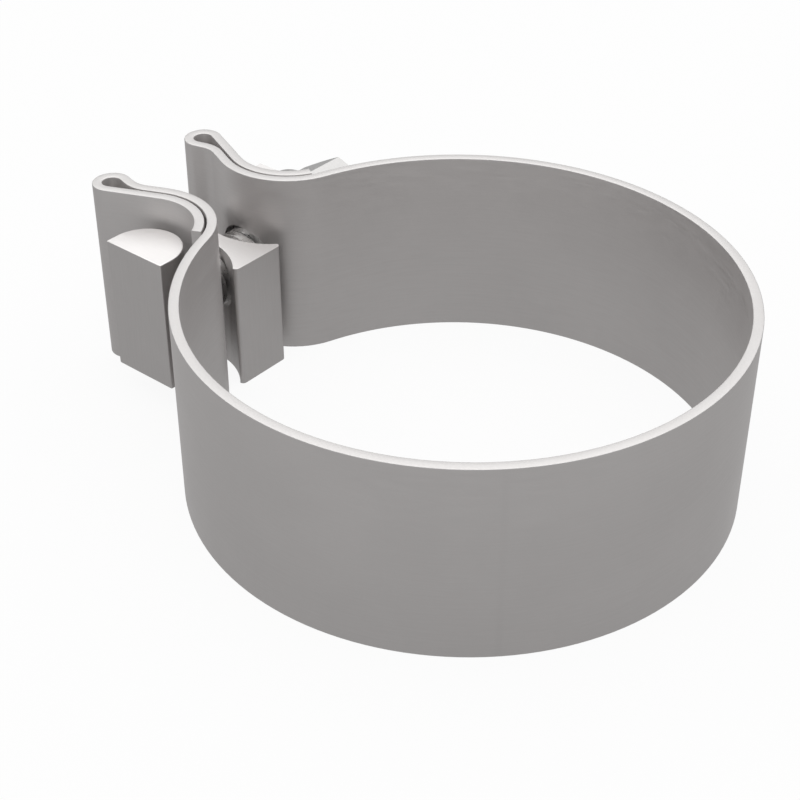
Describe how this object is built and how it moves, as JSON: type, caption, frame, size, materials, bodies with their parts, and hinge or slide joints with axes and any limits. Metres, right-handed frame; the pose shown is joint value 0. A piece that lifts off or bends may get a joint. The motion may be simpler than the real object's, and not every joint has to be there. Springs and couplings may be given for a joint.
{
  "type": "exhaust band clamp",
  "caption": "Wide stainless band clamp for a lapped exhaust pipe joint, with folded ears drawn together by a T-bolt, a saddle bar and a spacer block.",
  "frame": {"origin": "on the pipe's axis, in the plane of the band's lower edge", "axes": "+Z along the pipe's axis, +X from the pipe out through the gap between the ears, +Y along the bolt towards its head"},
  "size_m": [0.1089, 0.0846, 0.0318],
  "materials": {
    "band_steel": "satin cold-rolled stainless sheet",
    "bar_steel": "satin drawn bar",
    "fastener_steel": "bright machined and rolled thread"
  },
  "bodies": {
    "band": {"exhaust_band": "band_steel"},
    "bolt": {"t_bolt": "bar_steel"},
    "saddle": {"saddle_bar": "bar_steel", "flat_washer": "fastener_steel"},
    "nut": {"hex_nut": "fastener_steel"},
    "spacer": {"spacer_block": "bar_steel"}
  },
  "joints": [
    {"name": "bolt_slide", "type": "slide", "parent": "band", "child": "bolt", "axis": [0, -1, 0], "range_m": [0, 0.0014]},
    {"name": "saddle_travel", "type": "slide", "parent": "bolt", "child": "saddle", "axis": [0, -1, 0], "range_m": [0, 0.0045]},
    {"name": "nut_turn", "type": "hinge", "parent": "saddle", "child": "nut", "pos_m": [0.05014, -0.025, 0.01588], "axis": [0, -1, 0], "range_deg": [0, 1080]},
    {"name": "spacer_slide", "type": "slide", "parent": "band", "child": "spacer", "axis": [0, 1, 0], "range_m": [-0.0028, 0.0016]}
  ],
  "couplings": [
    {"joint": "saddle_travel", "follows": "nut_turn", "m_per_rad": 0.00023873}
  ]
}
